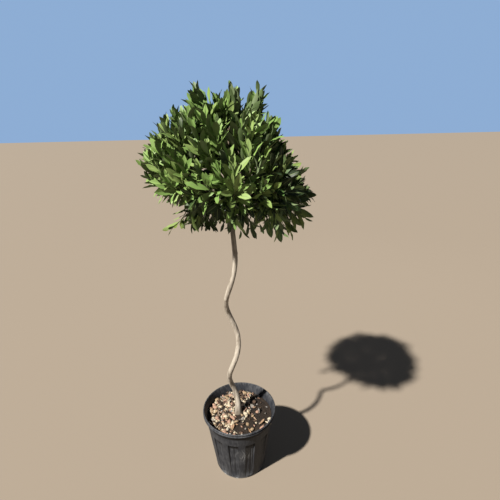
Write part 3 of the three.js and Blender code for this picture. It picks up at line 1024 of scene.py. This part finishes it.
# Shoots: where each ends, and which way its end points
shoot = {
    "main": (116, 0.08, 0.016, 5),  # how many, their scatter, their unevenness and their seed
    "fine": (210, 0.10, 0.028, 61),
    "inner": (110, 0.12, 0.03, 67, 0.72),  # and how far out they end
    "room": 0.042,  # how far the end leaves reach beyond the twig
    "leafy": 0.115,  # how much of the twig bears leaves
    "leaves": 15,
    "thinned": 0.84,  # share of the fine shoots taken from the crown's underside
    "loneAim": heading(178, -26),
    "stray": 0.16,
    "spireStray": 0.08,
    "radius": 0.0030,
    "tipRadius": 0.0011,
    "steps": 12,
    "stalkRadii": (0.0038, 0.0037, 0.0036, 0.0035, 0.0032),  # of what carries on from the bough
}
standingOut = [  # bearing, elevation, reach and companions of shoots beyond the rest
    (186, 71, 0.292, 3),
    (204, 76, 0.266, 1),
    (2, 87, 0.270, 3),
    (190, 82, 0.246, 1),
    (356, 69, 0.286, 4),
    (84, 66, 0.258, 2),
    (262, 64, 0.256, 2),
    (190, 50, 0.280, 2),
    (176, 14, 0.292, 2),
    (186, -46, 0.256, 3),
    (195, -54, 0.234, 3),
    (2, -20, 0.338, 3),
    (356, -34, 0.348, 2),
    (6, -47, 0.350, 2),
    (312, -37, 0.322, 1),
    (177, -40, 0.332, 0),
    (176, -52, 0.268, 3),
    (168, -65, 0.256, 3),
]
# The place, half width and floor of each cleft between the spires
clefts = [(-0.066, 0.013, 0.208), (0.056, 0.018, 0.204)]
# The middle and depth of each place where the crown stands lower, and the cosines of its edges
dips = [
    (up, 0.020, 0.80, 0.95),  # at the top, between the spires
    (heading(217, -22), 0.040, 0.88, 0.955),  # low at the left of the front
]


def evenWay(number, count):
    height = 1 - (2 * number + 1) / count
    across = math.sqrt(1 - height * height)
    bearing = number * math.pi * (3 - math.sqrt(5))
    return Vector((across * math.cos(bearing), across * math.sin(bearing), height))


def dip(way):
    return sum(depth * smooth(way.dot(middle), far, near) for middle, depth, far, near in dips)


def tipsOver(count, scatter, unevenness, seed, share=1):
    random = seeded(seed)
    for number in range(count):
        way = evenWay(number, count) + Vector([astray(random, scatter) for _ in range(3)])
        way.normalize()
        yield way, share * (reachAlong(way) - dip(way) + astray(random, unevenness))


def ownerOf(point):
    for mass in masses:
        if all(normal.dot(point) < limit for normal, limit in mass["space"]):
            return mass
    return None


def shootEnds():
    random = seeded(59)
    made = []
    for bearing, elevation, reach, companions in standingOut:
        kind = "lone" if not companions else "spire" if elevation > 60 else "main"
        way = heading(bearing, elevation)
        made.append((way, reach, kind))
        spread, beside = (0.08, "spire") if kind == "spire" else (0.12, "fine")
        for _ in range(companions):
            aside = (way + Vector([astray(random, spread) for _ in range(3)])).normalized()
            made.append((aside, reach * lerp(0.86, 0.97, random()), beside))
    made += [(*end, "main") for end in tipsOver(*shoot["main"])]
    for way, reach in tipsOver(*shoot["fine"]):
        low = smooth(-way.z, 0.3, 0.6)
        if random() > shoot["thinned"] * low:
            made.append((way, reach * lerp(1, 0.84, low), "fine"))
    made += [(*end, "inner") for end in tipsOver(*shoot["inner"]) if end[0].z > -0.25]
    return made


def aimOf(way):  # shoots climb towards the light, and the lowest hang
    lift = lerp(-0.15, 0.68, smooth(way.z, -0.68, 0.25))
    return (way * (1 - abs(lift)) + up * lift).normalized()


def growShoots():
    random = seeded(71)
    for way, reach, kind in shootEnds():
        tip = crown["centre"] + way * reach
        mass = ownerOf(tip)
        if mass is None:
            continue
        aim = shoot["loneAim"] if kind == "lone" else aimOf(way)
        stray = shoot["spireStray" if kind == "spire" else "stray"]
        aim = (aim + Vector([astray(random, stray) for _ in range(3)])).normalized()
        end = tip - aim * shoot["room"]
        mains = [other for other in mass["shoots"] if other["kind"] == "main"]
        if kind in ("main", "lone") or not mains:
            stalk = mass["site"] - crown["centre"]
            inmost = crown["hollow"] / stalk.length
            root = crown["centre"] + stalk * lerp(inmost, 1, lerp(0.35, 1, random()))
            radius, along = shoot["radius"], mass["out"]
        else:  # a side shoot of the nearest main one
            parent = min(mains, key=lambda other: (other["points"][-1] - end).length)
            place = int(lerp(0.3, 0.62, random()) * (len(parent["points"]) - 1))
            root = parent["points"][place]
            along = (parent["points"][place + 1] - root).normalized()
            radius = parent["radii"][place] * 0.8
        run, steps = (end - root).length, shoot["steps"]
        points = curveOf([root, root + along * 0.3 * run, end - aim * 0.42 * run, end], steps)
        radii = [lerp(radius, shoot["tipRadius"], number / steps) for number in range(steps + 1)]
        each = {"points": points, "radii": radii, "kind": kind, "way": way, "reach": reach}
        mass["shoots"].append(each)


growShoots()
print("shoots:", sum(len(mass["shoots"]) for mass in masses))


# Twigs
def twigShape(points, radii, sides=6):
    return shapeOf(limb(points, lambda ring, *_: radii[ring], sides))


def makeTwigs(mass, finishes):  # grey at first, and green for the last third
    foot = crown["centre"] + mass["out"] * (crown["hollow"] - 0.002)
    stalk = [foot.lerp(mass["site"], share / 4) for share in range(5)]
    copies = [(twigShape(stalk, shoot["stalkRadii"], 10), Matrix(), [0])]
    greenFrom = shoot["steps"] * 2 // 3
    for each in mass["shoots"]:
        points, radii = each["points"], each["radii"]
        copies.append((twigShape(points[: greenFrom + 1], radii[: greenFrom + 1]), Matrix(), [0]))
        copies.append((twigShape(points[greenFrom:], radii[greenFrom:]), Matrix(), [1]))
    name = mass["name"].replace("mass", "twigs")
    addCopies(name, copies, finishes, "bark", mass["name"])


# Leaves, dealt their colours by spray, paler where the sun falls and darker in shade: painted light
# and shade
tints = {  # each a colour and a roughness
    "deep": ((0.009, 0.020, 0.005), 0.50),
    "dark": ((0.020, 0.041, 0.010), 0.50),
    "bottle": ((0.042, 0.088, 0.022), 0.52),
    "mid": ((0.119, 0.203, 0.049), 0.52),
    "green": ((0.154, 0.246, 0.063), 0.54),
    "olive": ((0.164, 0.234, 0.068), 0.56),
    "fresh": ((0.158, 0.232, 0.062), 0.58),
    "bright": ((0.200, 0.290, 0.052), 0.61),
    "rib": ((0.120, 0.165, 0.058), 0.61),
    "fresh rib": ((0.230, 0.300, 0.090), 0.61),
    "under": ((0.084, 0.126, 0.046), 0.66),
    "grey under": ((0.116, 0.156, 0.074), 0.68),
    "fresh under": ((0.152, 0.210, 0.064), 0.71),
}
tintNames = list(tints)
deals = {  # how the sprays of each kind are dealt their colours; painted light and shade: sprays facing the sun take the paler sunlit and upper tints, those on the shaded right, underneath and inside the darker lower and inner ones
    "sunlit": ("green", "olive", "mid", "fresh", "green", "olive", "mid", "green"),
    "upper": ("mid", "green", "mid", "green", "olive", "green", "dark", "fresh"),
    "lower": ("dark", "deep", "bottle", "deep", "mid", "deep", "fresh", "dark"),
    "inner": ("deep", "dark", "deep", "bottle"),
    "spire": ("mid", "green", "bottle", "mid", "green"),
    "lone": ("bright", "fresh"),
}


def paletteOf(tint, random):
    isFresh = tint in ("fresh", "bright")
    under = "fresh under" if isFresh else "grey under" if random() < 0.35 else "under"
    return [tintNames.index(name) for name in (tint, "fresh rib" if isFresh else "rib", under)]


def dealTint(each, random):
    if each["kind"] in deals:
        deal = deals[each["kind"]]
    else:
        way = each["way"]
        # Painted light and shade: shoots facing up and away from the shaded right take the upper
        # tints, the rest the darker lower ones, and those facing the sun the sunlit ones.
        sunny = smooth(way.z - 1.5 * max(way.x, 0), -0.66, 0.04)
        sunward = way.dot(Vector(studio["sun"]["from"]).normalized())
        deal = deals["upper" if random() < sunny else "lower"]
        if random() < 0.8 * smooth(sunward, 0.25, 0.7) * smooth(way.z, -0.45, 0):
            deal = deals["sunlit"]
        if way.z < -0.4 and each["reach"] > 0.322:  # painted light: pale tints for shoots low and far out, where light comes in
            deal = deals["lone"]
    return pick(random, deal)


def habitOf(each, random):  # how a shoot bears its leaves
    rise = each["way"].z
    steep, low = smooth(rise, -0.3, 0.5), smooth(-rise, 0.35, 0.75)
    habit = {
        "leafy": shoot["leafy"] * lerp(0.85, 1.35, 0.5 * (random() + steep)),
        "widest": lerp(58, 34, steep),  # degrees that the oldest leaves stand off the twig
        "hang": 0.68 * smooth(-rise, 0.02, 0.62),
        "outFacing": lerp(0.34, 0.06, steep),
        "smallest": lerp(0.74, 0.92, low),
        "largest": lerp(1.12, 1.20, low),
        "young": 0.52,  # size of the leaves at the tip
    }
    habit["count"] = shoot["leaves"] * lerp(1, 0.38, low) * habit["leafy"] / shoot["leafy"]
    if each["kind"] == "spire":
        habit.update(widest=20, young=0.80, smallest=0.84, largest=1.04)
    if each["kind"] == "lone":
        habit.update(leafy=0.075, widest=55, hang=0.10, count=9)
        habit.update(young=0.9, smallest=0.60, largest=0.82)
    return habit


def leavesOf(each, random):
    points, way, habit = each["points"], each["way"], habitOf(each, random)
    lengths = [(b - a).length for a, b in zip(points, points[1:])]
    tint = dealTint(each, random)
    leafy = min(habit["leafy"], 0.6 * sum(lengths))
    count = max(3, round(habit["count"] * leafy / habit["leafy"]))
    level = Vector((way.x, way.y, 0))
    spin = 2 * math.pi * random()
    for number in range(count):
        share = number / (count - 1)  # 0 at the tip
        place, along = fromEnd(points, lengths, leafy * share**0.9)
        spin += math.radians(137.5 + astray(random, 14))
        first = along.orthogonal().normalized()
        side = first * math.cos(spin) + along.cross(first) * math.sin(spin)
        splay = math.radians(lerp(9, habit["widest"], share**0.75) + astray(random, 9))
        blade = along * math.cos(splay) + side * math.sin(splay)
        hang = habit["hang"] * lerp(0.3, 1, share)
        blade = (blade - up * hang).normalized()
        face = along * math.sin(splay) - side * math.cos(splay)
        face += (way + up) * habit["outFacing"] * lerp(0.3, 1, random())
        face += level * 3 * hang * random()
        face = (face - blade * face.dot(blade)).normalized()
        size = lerp(habit["young"], 1, smooth(share, 0, 0.38))
        size *= lerp(habit["smallest"], habit["largest"], random())
        across = blade.cross(face)
        turn = Matrix((across, blade, face)).transposed().to_4x4()
        roll = Matrix.Rotation(astray(random, 0.35), 4, "Y")
        matrix = Matrix.Translation(place - blade * 0.001) @ turn @ roll @ Matrix.Scale(size, 4)
        shapes = droopers if habit["hang"] > 0.25 and random() < habit["hang"] else blades
        own = tint if random() < 0.86 else dealTint(each, random)
        chosen = pick(random, shapes)
        ends = [matrix @ Vector((0, reach * leaf["length"], 0)) for reach in (0.5, 1)]
        if fits(ends, each["reach"] + 0.012):
            yield chosen, matrix, paletteOf(own, random)


def fits(points, reach):  # inside the crown's reach, out of its clefts and clear of the stem
    for point in points:
        away = point - crown["centre"]
        way = away.normalized()
        spare = lerp(0.005, 0.018, smooth(way.z, -0.3, 0.05)) - dip(way)
        if away.length > max(reachAlong(way) + spare, reach):
            return False
        for place, half, floor in clefts:  # a cleft's floor rises to its sides and to the back
            aside = (away.x - place) / half
            if abs(aside) < 1 and away.z > floor + 0.08 * away.y + 0.07 * aside**2:
                return False
        if point.z < crown["bareTo"] and (point - stemCentre(point.z)).length < crown["clearing"]:
            return False
    return True


def fromEnd(points, lengths, back):  # the point this far back from the end, and the line's way
    for number in range(len(lengths) - 1, -1, -1):
        if back <= lengths[number] or number == 0:
            along = (points[number + 1] - points[number]).normalized()
            return points[number + 1] - along * min(back, lengths[number]), along
        back -= lengths[number]


def makeLeaves(mass, finishes):
    random = seeded(101 + masses.index(mass))
    copies = [copy for each in mass["shoots"] for copy in leavesOf(each, random)]
    name = mass["name"].replace("mass", "leaves")
    addCopies(name, copies, finishes, "leaves", mass["name"])


twigFinishes = [
    plainFinish("grey twig", (0.16, 0.125, 0.085), 0.7),
    plainFinish("green twig", (0.10, 0.13, 0.045), 0.55),
]
leafFinishes = []
for name, (colour, roughness) in tints.items():
    leafFinishes.append(plainFinish("leaf " + name, colour, roughness, 0.28))
for mass in masses:
    makeTwigs(mass, twigFinishes)
    makeLeaves(mass, leafFinishes)
